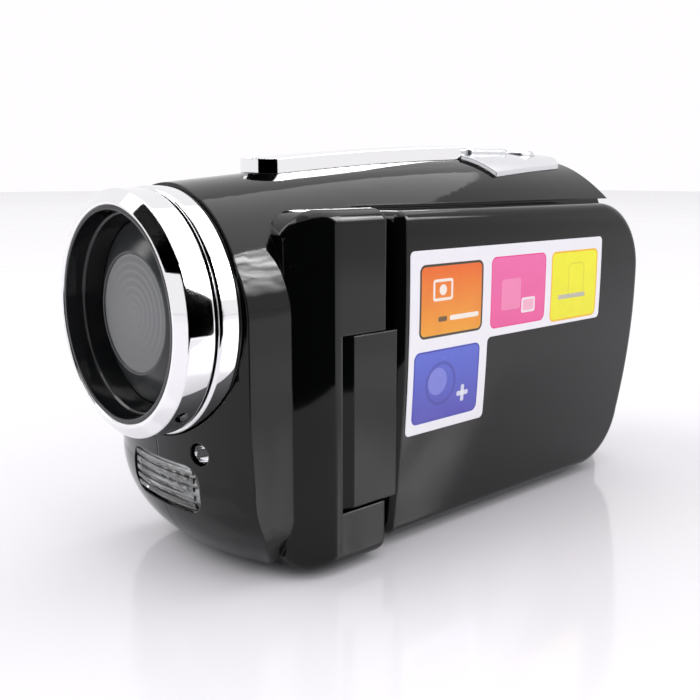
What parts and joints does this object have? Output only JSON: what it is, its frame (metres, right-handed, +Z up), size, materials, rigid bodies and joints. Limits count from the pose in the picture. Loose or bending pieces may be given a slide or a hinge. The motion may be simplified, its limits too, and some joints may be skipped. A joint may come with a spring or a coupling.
{
  "type": "camcorder",
  "caption": "Pocket camcorder with a stepped bright lens hood, a fold-out screen on a side hinge, a chin lamp, sprung keys, a battery door and a port cover.",
  "frame": {"origin": "mouth of the tripod socket, in the middle of the flat base", "axes": "+Z up out of the base, -Y the way the lens looks, +X the side of the fold-out screen"},
  "size_m": [0.0392, 0.107, 0.0635],
  "materials": {
    "gloss_casing": "high gloss black",
    "bright_chrome": "bright plated",
    "satin_silver": "satin silver lacquer",
    "hood_black": "gloss black",
    "mask_grey": "fine matt",
    "pale_window": "pale grey, finely stepped",
    "optic_glass": "polished",
    "lamp_clear": "ribbed, clear",
    "inner_black": "moulded, matt",
    "reflector": "bright moulding",
    "board_green": "solder mask",
    "chip_black": "epoxy",
    "steel": "plated steel",
    "brass": "turned",
    "key_silver": "satin silver lacquer",
    "key_black": "satin black",
    "label_film": "printed film",
    "screen_glass": "tinted cover pane",
    "display_grey": "dark panel",
    "cell_sleeve": "printed sleeve",
    "cover_rubber": "soft matt",
    "led_dome": "clear dome"
  },
  "bodies": {
    "camera": {"left_casing": "gloss_casing", "right_casing": "gloss_casing", "hood_ring": "bright_chrome", "trim_ring": "bright_chrome", "lens_tube": "hood_black", "hood_liner": "hood_black", "lens_mask": "mask_grey", "lens_window": "pale_window", "lens_barrel": "inner_black", "lens_elements": "optic_glass", "lens_holder": "inner_black", "sensor_board": "board_green", "image_sensor": "chip_black", "lamp_window": "lamp_clear", "lamp_tray": "reflector", "lamp_diodes": "led_dome", "lamp_board": "board_green", "spot_window": "optic_glass", "top_bar": "bright_chrome", "top_pad": "satin_silver", "top_board": "board_green", "rear_board": "board_green", "main_board": "board_green", "tact_switches": "chip_black", "board_chips": "chip_black", "speaker": "inner_black", "card_socket": "steel", "cells": "cell_sleeve", "cell_contacts": "steel", "battery_tray": "inner_black", "door_pin": "steel", "port_frame": "inner_black", "data_socket": "steel", "picture_jack": "inner_black", "cover_pin": "steel", "hinge_pin": "steel", "tripod_bush": "brass", "strap_bar": "steel", "microphone": "inner_black", "case_screws": "steel"},
    "screen": {"screen_cover": "gloss_casing", "screen_bezel": "inner_black", "screen_pane": "screen_glass", "display": "display_grey", "display_board": "board_green", "panel_label": "label_film", "hinge_knuckle": "gloss_casing", "knuckle_shaft": "steel", "shaft_collar": "steel"},
    "battery_door": {"battery_door": "gloss_casing"},
    "port_cover": {"port_cover": "cover_rubber"},
    "zoom_rocker": {"zoom_rocker": "key_silver"},
    "shutter_key": {"shutter_key": "key_silver"},
    "power_key": {"power_key": "key_black"},
    "mode_key": {"mode_key": "key_black"},
    "ok_key": {"ok_key": "key_black"},
    "menu_key": {"menu_key": "key_black"},
    "up_key": {"up_key": "key_black"},
    "play_key": {"play_key": "key_black"},
    "down_key": {"down_key": "key_black"}
  },
  "joints": [
    {"name": "screen_hinge", "type": "hinge", "parent": "camera", "child": "screen", "pos_m": [0.016, -0.0205, 0.0224], "axis": [0, 0, -1], "range_deg": [0, 90]},
    {"name": "battery_door_hinge", "type": "hinge", "parent": "camera", "child": "battery_door", "pos_m": [0, 0.0094, 0.001], "axis": [-1, 0, 0], "range_deg": [0, 90]},
    {"name": "port_cover_hinge", "type": "hinge", "parent": "camera", "child": "port_cover", "pos_m": [-0.0099, 0.0555, 0.0275], "axis": [0, 0, 1], "range_deg": [0, 100]},
    {"name": "zoom_rocker_tip", "type": "hinge", "parent": "camera", "child": "zoom_rocker", "pos_m": [0, 0.028, 0.0602], "axis": [1, 0, 0], "range_deg": [-4, 4], "stiffness_Nm_per_rad": 0.05},
    {"name": "shutter_press", "type": "slide", "parent": "camera", "child": "shutter_key", "axis": [0, 0, -1], "range_m": [0, 0.0005], "stiffness_N_per_m": 400},
    {"name": "power_press", "type": "slide", "parent": "camera", "child": "power_key", "axis": [0, -1, 0], "range_m": [0, 0.0005], "stiffness_N_per_m": 400},
    {"name": "mode_press", "type": "slide", "parent": "camera", "child": "mode_key", "axis": [0, -1, 0], "range_m": [0, 0.0005], "stiffness_N_per_m": 400},
    {"name": "ok_press", "type": "slide", "parent": "camera", "child": "ok_key", "axis": [-1, 0, 0], "range_m": [0, 0.0005], "stiffness_N_per_m": 400},
    {"name": "menu_press", "type": "slide", "parent": "camera", "child": "menu_key", "axis": [-1, 0, 0], "range_m": [0, 0.0005], "stiffness_N_per_m": 400},
    {"name": "up_press", "type": "slide", "parent": "camera", "child": "up_key", "axis": [-1, 0, 0], "range_m": [0, 0.0005], "stiffness_N_per_m": 400},
    {"name": "play_press", "type": "slide", "parent": "camera", "child": "play_key", "axis": [-1, 0, 0], "range_m": [0, 0.0005], "stiffness_N_per_m": 400},
    {"name": "down_press", "type": "slide", "parent": "camera", "child": "down_key", "axis": [-1, 0, 0], "range_m": [0, 0.0005], "stiffness_N_per_m": 400}
  ]
}
